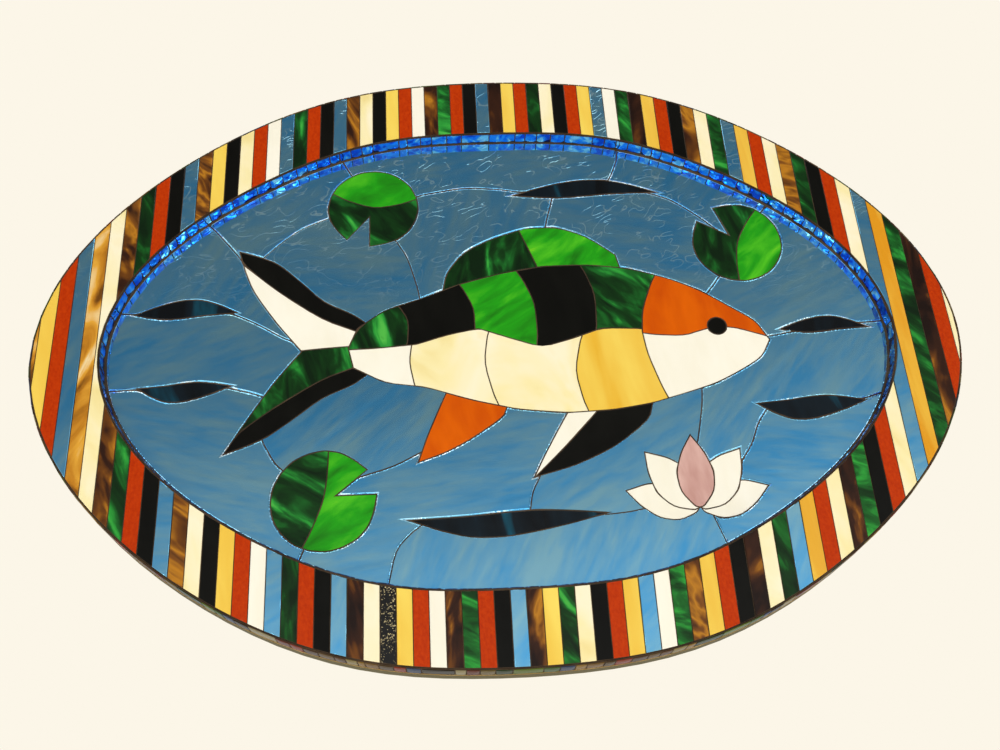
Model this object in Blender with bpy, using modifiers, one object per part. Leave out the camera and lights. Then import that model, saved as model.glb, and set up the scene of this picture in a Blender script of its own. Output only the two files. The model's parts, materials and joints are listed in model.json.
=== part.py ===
"""An oval mosaic wall panel: a raised rim faced with strips of stained glass around a sunk glass picture.

The panel hangs on a wall. Its flat back is the plane Y = 0, it faces -Y, +X is to the viewer's
right, +Z is up, and the origin is the middle of the back.
"""
import math

import bmesh
import bpy
import numpy as np
from mathutils import Vector

# Driving sizes, in metres
PANEL_WIDTH = 0.888  # across the ends of the rim's strips
PANEL_HEIGHT = 0.622
RIM_AT_ENDS = 0.0615  # width of the rim's face at the left and right ends
RIM_AT_TOP = 0.0665  # width of the rim's face at the top and bottom
OVAL_POWER = 1.93  # 2 is a true ellipse, less is more pointed
BULGE = 0.0026  # how far the sawn oval swells and dips around its smooth line

BASE_THICK = 0.015  # plywood back board
RING_THICK = 0.015  # plywood ring that raises the rim
GLASS_THICK = 0.003
RIM_BED_THICK = 0.0012  # grout and adhesive under the rim's strips
RIM_BED_SINK = 0.0006  # how deep the strips sit in it
STRIP_INSET = 0.0006  # from the ring board's edge to the strips' ends
PICTURE_BED_THICK = 0.0007
PICTURE_BED_INSET = 0.001

STRIP_PITCH = 0.0138
STRIP_JOINT = 0.0008
LEFT_STRIP = 0.0035  # what shows of the last strip at the left end
RIGHT_STRIP = 0.0050
WHOLE_LEFT = 5  # strips at the left end that run past the opening
WHOLE_RIGHT = 4
LONGEST_CUT = 0.015  # a strip's end is cut straight over no more than this

TILE_THICK = 0.0022
TILE_SETBACK = 0.0014  # the tiles' edges stop this far behind the strips' face
INNER_TILE_WIDTH = 0.0130
OUTER_TILE_WIDTH = 0.0122

PICTURE_JOINT = 0.0012  # grout line between the picture's pieces
PICTURE_EDGE_JOINT = 0.0008
CLEARANCE = 0.0003  # between pieces that touch

# The picture is drawn on a sheet of this many units from its middle to its right and top edges
SHEET_HALF_W = 100.0
SHEET_HALF_H = 63.6
CURVE_STEPS = 2  # straight cuts between two points of a drawn line
FLAT_ANGLE = math.radians(0.2)  # faces that meet at less than this are one face


def shrunk(half_sizes, inset):
    return half_sizes[0] - inset, half_sizes[1] - inset


# Worked out from the driving sizes
OUTER = (PANEL_WIDTH / 2, PANEL_HEIGHT / 2)
INNER = (OUTER[0] - RIM_AT_ENDS, OUTER[1] - RIM_AT_TOP)
STRIPS_OUTER = shrunk(OUTER, STRIP_INSET)
STRIPS_INNER = shrunk(INNER, -STRIP_INSET)
RING_BACK = BASE_THICK + CLEARANCE
RIM_BED_BACK = RING_BACK + RING_THICK + CLEARANCE
STRIP_BACK = RIM_BED_BACK + RIM_BED_THICK - RIM_BED_SINK
PICTURE_BED_BACK = BASE_THICK + CLEARANCE
PICTURE_BACK = PICTURE_BED_BACK + PICTURE_BED_THICK + CLEARANCE
TILE_BACK = BASE_THICK + CLEARANCE
TILE_TALL = STRIP_BACK + GLASS_THICK - TILE_SETBACK - TILE_BACK
TILE_REACH = CLEARANCE + TILE_THICK  # from the ring board's edge to a tile's face

GLASS_COLOURS = {
    "black": (0.012, 0.012, 0.010),
    "white": (0.92, 0.88, 0.78),
    "cream": (0.86, 0.74, 0.42),
    "yellow": (0.80, 0.52, 0.08),
    "red": (0.55, 0.05, 0.008),
    "orange": (0.62, 0.16, 0.01),
    "brown": (0.10, 0.035, 0.012),
    "green": (0.03, 0.16, 0.03),
    "bright_green": (0.06, 0.32, 0.02),
    "rosy": (0.55, 0.30, 0.26),
    "water": (0.06, 0.22, 0.34),
    "night": (0.015, 0.05, 0.07),
    "cobalt": (0.01, 0.12, 0.55),
}


def clear_scene():
    for obj in list(bpy.data.objects):
        bpy.data.objects.remove(obj, do_unlink=True)


def collection(name):
    made = bpy.data.collections.new(name)
    bpy.context.scene.collection.children.link(made)
    return made


def material(name, colour, roughness, metallic=0.0):
    made = bpy.data.materials.get(name) or bpy.data.materials.new(name)
    made.use_nodes = True
    shader = made.node_tree.nodes["Principled BSDF"]
    shader.inputs["Base Color"].default_value = (*colour, 1.0)
    shader.inputs["Roughness"].default_value = roughness
    shader.inputs["Metallic"].default_value = metallic
    made.diffuse_color = (*colour, 1.0)
    return made


def glass(colour):
    return material(f"glass_{colour}", GLASS_COLOURS[colour], 0.12)


# The oval, as a function of a turn in radians from its right end
def oval(half_sizes, turn):
    width = half_sizes[0] - BULGE
    height = half_sizes[1] + BULGE
    power = 2 / OVAL_POWER
    x = math.copysign(width * abs(math.cos(turn)) ** power, math.cos(turn))
    z = math.copysign(height * abs(math.sin(turn)) ** power, math.sin(turn))
    swell = 1 + BULGE * math.cos(6 * math.atan2(z, x)) / math.hypot(x, z)
    return x * swell, z * swell


def even_turns(half_sizes, count):
    """Turns that divide the oval into equal lengths."""
    fine = np.linspace(0, 2 * math.pi, 2001)
    points = np.array([oval(half_sizes, turn) for turn in fine])
    length = np.concatenate([[0], np.cumsum(np.linalg.norm(np.diff(points, axis=0), axis=1))])
    return np.interp(np.linspace(0, length[-1], count, endpoint=False), length, fine)


def ring(half_sizes, turns):
    return [oval(half_sizes, turn) for turn in turns]


def perimeter(half_sizes):
    points = ring(half_sizes, np.linspace(0, 2 * math.pi, 721))
    return sum(math.dist(p, q) for p, q in zip(points, points[1:]))


def upper_edge(half_sizes, x0, x1):
    """Points along the oval's upper half from x0 to x1, near enough for straight cuts."""
    fine = np.linspace(math.pi, 0, 1001)
    points = np.array([oval(half_sizes, turn) for turn in fine])
    turn0, turn1 = np.interp([x0, x1], points[:, 0], fine)
    ends = [oval(half_sizes, turn0), oval(half_sizes, turn1)]
    cuts = max(1, math.ceil(math.dist(*ends) / LONGEST_CUT))
    return [oval(half_sizes, turn) for turn in np.linspace(turn0, turn1, cuts + 1)]


def mirrored(points):
    return [(x, -z) for x, z in reversed(points)]


# Flat solids, made from 2D curves that stand upright and face -Y
def add_straight(curve, points):
    spline = curve.splines.new("POLY")
    spline.points.add(len(points) - 1)
    for vertex, (x, z) in zip(spline.points, points):
        vertex.co = (x, z, 0, 1)
    spline.use_cyclic_u = True


def add_smooth(curve, points, closed):
    """A smooth line through the points; one with a third value is a sharp corner."""
    spline = curve.splines.new("BEZIER")
    spline.bezier_points.add(len(points) - 1)
    for vertex, point in zip(spline.bezier_points, points):
        x, z = on_sheet(point)
        vertex.co = (x, z, 0)
        handle = "VECTOR" if len(point) > 2 else "AUTO"
        vertex.handle_left_type = handle
        vertex.handle_right_type = handle
    spline.use_cyclic_u = closed


def flat_curve(name, back, thick):
    curve = bpy.data.curves.new(name, "CURVE")
    curve.dimensions = "2D"
    curve.fill_mode = "BOTH"
    curve.extrude = thick / 2
    obj = bpy.data.objects.new(name, curve)
    obj.rotation_euler = (math.pi / 2, 0, 0)
    obj.location = (0, -(back + thick / 2), 0)
    return obj


def plate(name, loops, back, thick):
    obj = flat_curve(name, back, thick)
    for points in loops:
        add_straight(obj.data, points)
    return obj


def put(obj, where, skin):
    where.objects.link(obj)
    obj.data.materials.clear()
    obj.data.materials.append(skin)
    return obj


def evaluated_mesh(obj):
    bpy.context.view_layer.update()
    return bpy.data.meshes.new_from_object(obj.evaluated_get(bpy.context.evaluated_depsgraph_get()))


def as_mesh(curve_obj, where):
    """A mesh object in the curve's place, with its caps welded on."""
    bpy.context.scene.collection.objects.link(curve_obj)
    mesh = evaluated_mesh(curve_obj)
    work = bmesh.new()
    work.from_mesh(mesh)
    bmesh.ops.remove_doubles(work, verts=work.verts, dist=1e-6)
    work.to_mesh(mesh)
    work.free()
    name = curve_obj.name
    matrix = curve_obj.matrix_world.copy()
    bpy.data.objects.remove(curve_obj, do_unlink=True)
    obj = bpy.data.objects.new(name, mesh)
    obj.matrix_world = matrix
    where.objects.link(obj)
    return obj


def boolean(target, other, operation):
    modifier = target.modifiers.new(operation.lower(), "BOOLEAN")
    modifier.operation = operation
    modifier.object = other
    mesh = evaluated_mesh(target)
    work = bmesh.new()
    work.from_mesh(mesh)
    bmesh.ops.dissolve_limit(work, angle_limit=FLAT_ANGLE, verts=work.verts, edges=work.edges)
    work.to_mesh(mesh)
    work.free()
    target.data = mesh
    target.modifiers.clear()
    bpy.data.objects.remove(other, do_unlink=True)


# Rim and boards
def strip_borders(count):
    """The x of every joint between strips, with this many strips across the opening."""
    left = -STRIPS_OUTER[0] + LEFT_STRIP
    right = STRIPS_OUTER[0] - RIGHT_STRIP
    first = left + WHOLE_LEFT * STRIP_PITCH
    last = right - WHOLE_RIGHT * STRIP_PITCH
    middle = np.linspace(first, last, count + 1)
    before = [left + i * STRIP_PITCH for i in range(WHOLE_LEFT + 1)]
    after = [right - i * STRIP_PITCH for i in reversed(range(WHOLE_RIGHT + 1))]
    return [-STRIPS_OUTER[0], *before, *middle[1:-1], *after, STRIPS_OUTER[0]]


def whole_strip(x0, x1):
    """A strip that runs past the opening's end, bitten by it if it reaches that far."""
    top = upper_edge(STRIPS_OUTER, x0, x1)
    tip = STRIPS_INNER[0]
    left_bite = []
    right_bite = []
    if x0 < -tip < x1:
        arc = upper_edge(STRIPS_INNER, -tip, x1)
        left_bite = [*reversed(arc), *[(x, -z) for x, z in arc[1:]]]
    if x0 < tip < x1:
        arc = upper_edge(STRIPS_INNER, x0, tip)
        right_bite = [*[(x, -z) for x, z in arc], *list(reversed(arc))[1:]]
    return [*top, *left_bite, *mirrored(top), *right_bite]


def split_strip(x0, x1):
    """The upper half of a strip that the opening cuts in two."""
    inner = upper_edge(STRIPS_INNER, x0, min(x1, STRIPS_INNER[0]))
    if x1 > STRIPS_INNER[0]:
        inner = [*inner[:-1], (STRIPS_INNER[0], STRIP_JOINT / 2), (x1, STRIP_JOINT / 2)]
    return [*inner, *reversed(upper_edge(STRIPS_OUTER, x0, x1))]


def strip_outlines():
    across = 2 * STRIPS_OUTER[0] - LEFT_STRIP - RIGHT_STRIP - (WHOLE_LEFT + WHOLE_RIGHT) * STRIP_PITCH
    above = round(across / STRIP_PITCH)
    gap = STRIP_JOINT / 2
    outlines = []
    for count, flip in ((above, False), (above - 1, True)):
        borders = strip_borders(count)
        for index, (x0, x1) in enumerate(zip(borders, borders[1:])):
            whole = index <= WHOLE_LEFT or index > WHOLE_LEFT + count
            if whole and flip:
                continue
            points = whole_strip(x0 + gap, x1 - gap) if whole else split_strip(x0 + gap, x1 - gap)
            outlines.append(mirrored(points) if flip else points)
    return outlines


def build_boards_and_rim(parts, inner_turns, outer_turns):
    # The boards are sawn with one flat for every two wall tiles
    inner_saw = inner_turns[::2]
    outer_saw = outer_turns[::2]
    plywood = material("plywood", (0.30, 0.22, 0.08), 0.7)
    grout = material("grout", (0.05, 0.04, 0.03), 0.9)
    base_edge = shrunk(OUTER, -TILE_REACH)
    put(plate("base_board", [ring(base_edge, outer_saw)], 0, BASE_THICK), parts, plywood)
    rim_loops = [ring(OUTER, outer_saw), ring(INNER, inner_saw)]
    put(plate("rim_board", rim_loops, RING_BACK, RING_THICK), parts, plywood)

    strips = as_mesh(plate("rim_strips", strip_outlines(), STRIP_BACK, GLASS_THICK), parts)
    bed = as_mesh(plate("rim_bed", rim_loops, RIM_BED_BACK, RIM_BED_THICK), parts)
    boolean(strips, bed, "UNION")
    strips.data.materials.clear()
    strips.data.materials.append(glass("red"))

    bed_edge = shrunk(INNER, TILE_REACH + PICTURE_EDGE_JOINT + PICTURE_BED_INSET)
    picture_bed = plate("picture_bed", [ring(bed_edge, inner_saw)], PICTURE_BED_BACK, PICTURE_BED_THICK)
    put(picture_bed, parts, grout)


def build_wall_tiles(parts, inner_turns, outer_turns):
    """A ring of flat tiles on each wall of the rim, each facet one tile."""
    rings = [
        ("inner_wall_tiles", shrunk(INNER, TILE_REACH), shrunk(INNER, CLEARANCE), inner_turns, "cobalt"),
        ("outer_wall_tiles", shrunk(OUTER, -TILE_REACH), shrunk(OUTER, -CLEARANCE), outer_turns, "brown"),
    ]
    for name, face, back, turns, colour in rings:
        loops = [ring(face, turns), ring(back, turns[::2])]
        put(plate(name, loops, TILE_BACK, TILE_TALL), parts, glass(colour))


# The picture, drawn in sheet units
PICTURE = shrunk(INNER, TILE_REACH + PICTURE_EDGE_JOINT)


def on_sheet(point):
    return point[0] / SHEET_HALF_W * PICTURE[0], point[1] / SHEET_HALF_H * PICTURE[1]


def around(middle, radius, count, start=0.0, sweep=2 * math.pi):
    angles = [start + sweep * i / count for i in range(count)]
    return [(middle[0] + radius * math.cos(a), middle[1] + radius * math.sin(a)) for a in angles]


def lily_pad(middle, radius, notch):
    """A round leaf with a V cut towards its middle, at the angle notch in degrees."""
    half_gap = math.radians(16)
    start = math.radians(notch) + half_gap
    rim = around(middle, radius, 9, start, 2 * math.pi - 2 * half_gap)
    end = around(middle, radius, 1, start - 2 * half_gap)[0]
    heart = around(middle, radius * 0.2, 1, math.radians(notch))[0]
    return [(*heart, "sharp"), (*rim[0], "sharp"), *rim[1:], (*end, "sharp")]


def petal(root, angle, length, width):
    """A pointed petal from its root, leaning at the angle in degrees."""
    along = Vector((math.cos(math.radians(angle)), math.sin(math.radians(angle))))
    across = Vector((-along.y, along.x))
    base = Vector(root)
    edge = [(0.05, 0.12), (0.5, 0.5)]
    left = [base + along * length * reach + across * width * side for reach, side in edge]
    right = [base + along * length * reach - across * width * side for reach, side in reversed(edge)]
    return [*map(tuple, left), (*(base + along * length), "sharp"), *map(tuple, right)]


def ripple(middle, length, thick, bow):
    """A dark sliver of wave, pointed at both ends and bowed upwards in the middle."""
    x, z = middle
    half = length / 2
    crest = z + bow
    return [
        (x - half, z, "sharp"),
        (x - half * 0.4, crest + thick * 0.4),
        (x + half * 0.3, crest + thick * 0.6),
        (x + half, z, "sharp"),
        (x + half * 0.3, crest - thick * 0.4),
        (x - half * 0.4, crest - thick * 0.6),
    ]


FISH_BODY = [
    (69, -1), (60, 9), (45, 18), (24, 23), (0, 21), (-21, 14), (-37, 6),
    (-38, -5), (-20, -11), (3, -18), (27, -19), (46, -15), (61, -9),
]
TAIL = [
    (-32, 5), (-46, 14), (-58, 26), (-68, 30, "sharp"), (-64, 18), (-51, 0, "sharp"),
    (-58, -9), (-69, -27, "sharp"), (-59, -23), (-46, -13), (-32, -5),
]
DORSAL_FIN = [(33, 18), (24, 32), (8, 35), (-9, 28, "sharp"), (-15, 15), (-2, 12), (20, 14)]
PECTORAL_FIN = [(38, -13), (26, -29), (6, -36, "sharp"), (12, -25), (22, -12), (30, -10)]
PELVIC_FIN = [(2, -12), (-10, -26), (-22, -31, "sharp"), (-17, -18), (-10, -8)]
EYE = ((56, 3.5), 2.4)

GILL_LINE = [(44, 24), (37, 9), (37, -4), (43, -22)]
CHEEK_LINE = [(74, -2), (66, 1), (56, 3.5), (47, 1), (32, 3)]
FLANK_LINE = [(44, 2), (26, 4), (10, -1), (-6, 5), (-22, 1), (-44, 0)]
BACK_LINES = [
    [(20, 27), (25, 14), (23, -4)],
    [(3, 25), (9, 12), (8, -6)],
    [(-13, 22), (-7, 11), (-8, -2)],
    [(-29, 15), (-24, 8), (-26, -4)],
]
BELLY_LINES = [
    [(23, 8), (18, -8), (22, -24)],
    [(-2, 9), (-5, -5), (0, -22)],
    [(-22, 6), (-24, -4), (-21, -16)],
]
TAIL_LINES = [
    [(-26, 0.5), (-40, 1), (-54, 0)],
    [(-26, 1.5), (-46, 9), (-68, 27)],
    [(-26, -1.5), (-46, -8), (-69, -24)],
]

PADS = {"left": ((-33, 43), 12, 250), "lower": ((-45, -40), 12.5, 20), "right": ((65, 29), 12, 130)}
PAD_LINES = {
    "left": [(-47, 50), (-33, 43), (-20, 46)],
    "lower": [(-44, -26), (-45, -40), (-51, -54)],
    "right": [(64, 15), (65, 29), (73, 41)],
}
FLOWER_ROOT = (45, -46)
PETALS = [("middle", 90, 19, 9), ("left", 128, 19, 10), ("right", 52, 19, 10)]
LOW_PETALS = [("low_left", 163, 18, 9), ("low_right", 17, 18, 9)]

RIPPLES = [
    ((-81, 12), 25, 4.4, 1.2),
    ((-80, -9), 22, 4.2, -1.2),
    ((-1, -46), 46, 5.0, -1.6),
    ((84, 2), 22, 3.6, 1.0),
    ((77, -19), 27, 5.0, -1.4),
    ((25, 46), 38, 4.4, 1.6),
]

BREAK_LINES = [
    [(-108, 14), (-92, 12), (-70, 12), (-56, 4), (-48, 1)],
    [(-108, -10), (-90, -9), (-71, -9), (-56, -14)],
    [(-62, -20), (-57, -30), (-47, -42), (-51, -56), (-50, -74)],
    [(-44, -36), (-28, -32), (-14, -24)],
    [(-20, -46), (-28, -53), (-30, -74)],
    [(10, -32), (5, -40), (4, -48)],
    [(46, -42), (50, -54), (56, -72)],
    [(18, -46.5), (28, -46), (42, -43)],
    [(50, -10), (49, -19), (45, -34)],
    [(52, -40), (60, -30), (66, -19.7), (78, -20.4), (88, -19.3), (108, -13)],
    [(64, -1), (75, 1), (92, 3), (110, 4)],
    [(68, 32), (77, 43), (90, 58)],
    [(64, 26), (57, 16), (50, 8)],
    [(40, 46.5), (49, 43), (62, 31)],
    [(10, 46.5), (-8, 49), (-30, 44)],
    [(12, 30), (14, 38), (17, 48)],
    [(30, 47), (35, 57), (35, 74)],
    [(-34, 46), (-41, 58), (-45, 74)],
    [(-31, 38), (-24, 27), (-20, 8)],
    [(-38, 42), (-52, 37), (-63, 27)],
    [(-65, 24), (-75, 37), (-90, 52)],
]


def picture_solid(name, points, where, grow=0.0):
    """A piece of the picture's glass, or a deeper and wider cutter of its shape."""
    deeper = GLASS_THICK if grow else 0.0
    curve = flat_curve(name, PICTURE_BACK - deeper / 2, GLASS_THICK + deeper)
    curve.data.resolution_u = CURVE_STEPS
    curve.data.offset = grow
    add_smooth(curve.data, points, closed=True)
    return as_mesh(curve, where)


def cut_by_shapes(obj, outlines, cutters):
    for points in outlines:
        boolean(obj, picture_solid("cutter", points, cutters, grow=PICTURE_JOINT), "DIFFERENCE")


def cut_by_lines(obj, lines, cutters):
    """Saw along smooth lines, as wide as the grout joint."""
    for points in lines:
        curve = flat_curve("saw", PICTURE_BACK - GLASS_THICK / 2, GLASS_THICK * 2)
        curve.data.resolution_u = CURVE_STEPS
        add_smooth(curve.data, points, closed=False)
        saw = as_mesh(curve, cutters)
        saw_width = saw.modifiers.new("width", "SOLIDIFY")
        saw_width.thickness = PICTURE_JOINT
        saw_width.offset = 0
        boolean(obj, saw, "DIFFERENCE")


def loose_pieces(obj, where):
    """Each separate solid of the mesh as an object of its own."""
    work = bmesh.new()
    work.from_mesh(obj.data)
    left = set(work.faces)
    pieces = []
    while left:
        start = left.pop()
        island = {start}
        edge_of_island = [start]
        while edge_of_island:
            face = edge_of_island.pop()
            for edge in face.edges:
                for other in edge.link_faces:
                    if other in left:
                        left.remove(other)
                        island.add(other)
                        edge_of_island.append(other)
        copy = work.copy()
        copy.faces.ensure_lookup_table()
        keep = {face.index for face in island}
        spare = [face for face in copy.faces if face.index not in keep]
        bmesh.ops.delete(copy, geom=spare, context="FACES")
        mesh = bpy.data.meshes.new(obj.name)
        copy.to_mesh(mesh)
        copy.free()
        piece = bpy.data.objects.new(obj.name, mesh)
        piece.matrix_world = obj.matrix_world.copy()
        where.objects.link(piece)
        pieces.append(piece)
    work.free()
    bpy.data.objects.remove(obj, do_unlink=True)
    return pieces


def middle_of(obj):
    corners = [obj.matrix_world @ Vector(corner) for corner in obj.bound_box]
    return sum(corners, Vector()) / len(corners)


def name_pieces(pieces, names, key):
    """Names the pieces in the order of the key and gives each its glass."""
    for number, piece in enumerate(sorted(pieces, key=lambda piece: key(middle_of(piece)))):
        label, colour = names[min(number, len(names) - 1)]
        spare = f"_{number + 1}" if number >= len(names) else ""
        piece.name = label + spare
        piece.data.name = piece.name
        piece.data.materials.clear()
        piece.data.materials.append(glass(colour))
    return pieces


def along_x(place):
    return place.x


def downwards(place):
    return -place.z


def clockwise(place):
    return -math.atan2(place.z, -place.x)


def split(obj, lines, names, key, parts, cutters):
    cut_by_lines(obj, lines, cutters)
    return name_pieces(loose_pieces(obj, parts), names, key)


def build_fish(parts, cutters):
    eye = around(*EYE, 6)
    name_pieces([picture_solid("fish_eye", eye, parts)], [("fish_eye", "black")], along_x)
    body = picture_solid("fish_body", FISH_BODY, parts)
    cut_by_shapes(body, [eye], cutters)
    trunk, head = split(body, [GILL_LINE], [("trunk", "white"), ("head", "white")], along_x, parts, cutters)
    trunk, head = sorted((trunk, head), key=lambda piece: middle_of(piece).x)
    head_names = [("fish_forehead", "orange"), ("fish_cheek", "white")]
    split(head, [CHEEK_LINE], head_names, downwards, parts, cutters)
    halves = split(trunk, [FLANK_LINE], [("back", "black"), ("belly", "cream")], downwards, parts, cutters)
    back, belly = sorted(halves, key=lambda piece: -middle_of(piece).z)
    back_colours = ["green", "black", "bright_green", "black", "green"]
    back_names = [(f"fish_back_{i + 1}", colour) for i, colour in enumerate(back_colours)]
    split(back, BACK_LINES, back_names, along_x, parts, cutters)
    belly_colours = ["white", "cream", "cream", "yellow"]
    belly_names = [(f"fish_belly_{i + 1}", colour) for i, colour in enumerate(belly_colours)]
    split(belly, BELLY_LINES, belly_names, along_x, parts, cutters)

    fins = [
        ("tail", TAIL, TAIL_LINES, ["black", "white", "green", "black"], downwards),
        ("dorsal_fin", DORSAL_FIN, [[(14, 10), (10, 24), (4, 40)]], ["green", "bright_green"], along_x),
        ("pectoral_fin", PECTORAL_FIN, [[(32, -6), (22, -20), (4, -38)]], ["black", "white"], downwards),
        ("pelvic_fin", PELVIC_FIN, [], ["orange"], along_x),
    ]
    for label, points, lines, colours, key in fins:
        fin = picture_solid(label, points, parts)
        cut_by_shapes(fin, [FISH_BODY], cutters)
        names = [(f"{label}_{i + 1}" if lines else label, colour) for i, colour in enumerate(colours)]
        split(fin, lines, names, key, parts, cutters)
    return [FISH_BODY, TAIL, DORSAL_FIN, PECTORAL_FIN, PELVIC_FIN]


def build_pads(parts, cutters):
    outlines = []
    for label, (middle, radius, notch) in PADS.items():
        points = lily_pad(middle, radius, notch)
        pad = picture_solid(f"lily_pad_{label}", points, parts)
        names = [(f"lily_pad_{label}_1", "green"), (f"lily_pad_{label}_2", "bright_green")]
        split(pad, [PAD_LINES[label]], names, along_x, parts, cutters)
        outlines.append(points)
    return outlines


def build_flower(parts, cutters):
    """Petals laid one over the other, each cut by those laid before it."""
    laid = []
    for label, angle, length, width in PETALS + LOW_PETALS:
        points = petal(FLOWER_ROOT, angle, length, width)
        piece = picture_solid(f"petal_{label}", points, parts)
        cut_by_shapes(piece, laid, cutters)
        colour = "rosy" if label == "middle" else "white"
        name_pieces(loose_pieces(piece, parts), [(f"petal_{label}", colour)], along_x)
        laid.append(points)
    return laid


def build_ripples(parts, cutters):
    outlines = []
    for number, (middle, length, thick, bow) in enumerate(RIPPLES):
        points = ripple(middle, length, thick, bow)
        name = f"ripple_{number + 1}"
        name_pieces([picture_solid(name, points, parts)], [(name, "night")], along_x)
        outlines.append(points)
    return outlines


def build_water(parts, cutters, motifs, turns):
    sheet = as_mesh(plate("water", [ring(PICTURE, turns)], PICTURE_BACK, GLASS_THICK), parts)
    cut_by_shapes(sheet, motifs, cutters)
    cut_by_lines(sheet, BREAK_LINES, cutters)
    panes = loose_pieces(sheet, parts)
    names = [(f"water_pane_{number + 1:02d}", "water") for number in range(len(panes))]
    name_pieces(panes, names, clockwise)


def main():
    clear_scene()
    parts = collection("mosaic_panel")
    cutters = collection("cutters")
    inner_count = 2 * round(perimeter(INNER) / INNER_TILE_WIDTH / 2)
    outer_count = 2 * round(perimeter(OUTER) / OUTER_TILE_WIDTH / 2)
    inner_turns = even_turns(INNER, inner_count)
    outer_turns = even_turns(OUTER, outer_count)
    build_boards_and_rim(parts, inner_turns, outer_turns)
    build_wall_tiles(parts, inner_turns, outer_turns)
    motifs = build_fish(parts, cutters)
    motifs += build_pads(parts, cutters)
    motifs += build_flower(parts, cutters)
    motifs += build_ripples(parts, cutters)
    build_water(parts, cutters, motifs, inner_turns[::2])


main()
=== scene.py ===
# %% [markdown]
# An oval mosaic panel, dressed step by step.
# The panel is plywood faced with stained glass: a raised rim of upright strips, two rows of small
# wall tiles and a sunk picture of a fish in water. The plain solids of the part are loaded first.
# They fix every size and place, so each piece below starts from the solid that it stands for.

# %% Load the frame
import json
import math

import bpy
from mathutils import Matrix, Vector, noise


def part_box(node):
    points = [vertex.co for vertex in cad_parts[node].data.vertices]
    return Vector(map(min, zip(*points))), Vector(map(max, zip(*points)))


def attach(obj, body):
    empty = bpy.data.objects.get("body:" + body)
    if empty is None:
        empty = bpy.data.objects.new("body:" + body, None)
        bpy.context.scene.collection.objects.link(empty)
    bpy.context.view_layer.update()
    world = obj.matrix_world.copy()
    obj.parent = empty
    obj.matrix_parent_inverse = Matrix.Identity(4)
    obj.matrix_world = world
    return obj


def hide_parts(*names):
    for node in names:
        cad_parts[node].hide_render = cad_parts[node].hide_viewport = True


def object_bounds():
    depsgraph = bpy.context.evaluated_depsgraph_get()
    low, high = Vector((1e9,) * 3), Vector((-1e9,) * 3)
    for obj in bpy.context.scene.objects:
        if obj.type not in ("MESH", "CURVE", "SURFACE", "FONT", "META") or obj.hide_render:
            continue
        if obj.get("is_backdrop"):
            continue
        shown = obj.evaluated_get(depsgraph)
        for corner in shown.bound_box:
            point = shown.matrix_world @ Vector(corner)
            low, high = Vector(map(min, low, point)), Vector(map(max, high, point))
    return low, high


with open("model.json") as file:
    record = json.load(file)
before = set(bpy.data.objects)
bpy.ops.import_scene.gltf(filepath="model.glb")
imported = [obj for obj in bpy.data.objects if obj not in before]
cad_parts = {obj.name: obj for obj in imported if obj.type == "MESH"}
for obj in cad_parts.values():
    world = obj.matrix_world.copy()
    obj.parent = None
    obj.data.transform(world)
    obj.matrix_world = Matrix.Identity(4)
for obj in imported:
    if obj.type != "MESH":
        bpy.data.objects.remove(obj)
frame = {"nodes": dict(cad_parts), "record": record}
box_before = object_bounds()
slot_of = {row["node"]: row["material_slot"] for row in frame["record"]["subparts"]}


def in_mm(size):
    """Metres as millimetres, to a tenth."""
    return [round(1000 * side, 1) for side in size]


print("solids:", len(frame["nodes"]), "size in mm:", in_mm(box_before[1] - box_before[0]))

# %% [markdown]
# The photograph was taken from a little below and to the left of the panel's middle, with the
# camera tilted up. The oval's edges and the strips' joints, which all run to one point, gave the
# camera's place, its tilt and its lens.

# %% Camera
lens = bpy.data.cameras.new("camera")
lens.lens = 39.1
camera = bpy.data.objects.new("camera", lens)
camera.location = (-0.0572, -0.9566, -0.4818)
camera.rotation_euler = [math.radians(turn) for turn in (115.616, 3.043, -1.752)]
bpy.context.scene.collection.objects.link(camera)
bpy.context.scene.camera = camera

# %% [markdown]
# Colours are written as they look on a screen, and a shader works in linear light, so one helper
# turns the first into the second. Another gives a colour ramp its stops, each a place and a colour.

# %% Colours


def tone(code):
    """A screen colour such as #3F6F8F as the linear numbers that shaders work in."""
    channels = [int(code[place:place + 2], 16) / 255 for place in (1, 3, 5)]
    linear = [c / 12.92 if c <= 0.04045 else ((c + 0.055) / 1.055) ** 2.4 for c in channels]
    return (*linear, 1.0)


def grey(level):
    """An even grey of that linear brightness."""
    return (level, level, level, 1.0)


def set_stops(ramp, stops):
    """Gives a new ramp its stops. The two that it comes with become the first and the last."""
    for place, colour in stops[1:-1]:
        ramp.elements.new(place).color = colour
    for element, (place, colour) in ((ramp.elements[0], stops[0]), (ramp.elements[-1], stops[-1])):
        element.position = place
        element.color = colour


BLACK, WHITE = grey(0.0), grey(1.0)
CREAM_WALL = tone("#FCF6E8")

# %% [markdown]
# The light is plain and soft. One big lamp hangs high above and two stand low in front, left and
# right. None of them is where flat glass mirrors it to the camera, so black stays black. The low
# ones are kept out of reflections, and a small lamp just in front of each puts the glints on the
# hammered wall tiles. The room in front of the panel is the world: dim above and brighter towards
# the horizon, which the silvered glass shows as a gradient.

# %% Lights, world and floor
WARM = (1.0, 0.95, 0.88)
SMALL_LAMP_NEARER = 0.9
ROOM_LEAN = (-0.12, 0.0, 1.0)
ROOM_SHADES = ((0.19, 0.88), (0.31, 0.52), (0.43, 0.28), (0.54, 0.215))
FLOOR_SIZE = 9
FLOOR_HEIGHT = -1.25
bpy.context.scene.view_settings.view_transform = "Standard"


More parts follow.
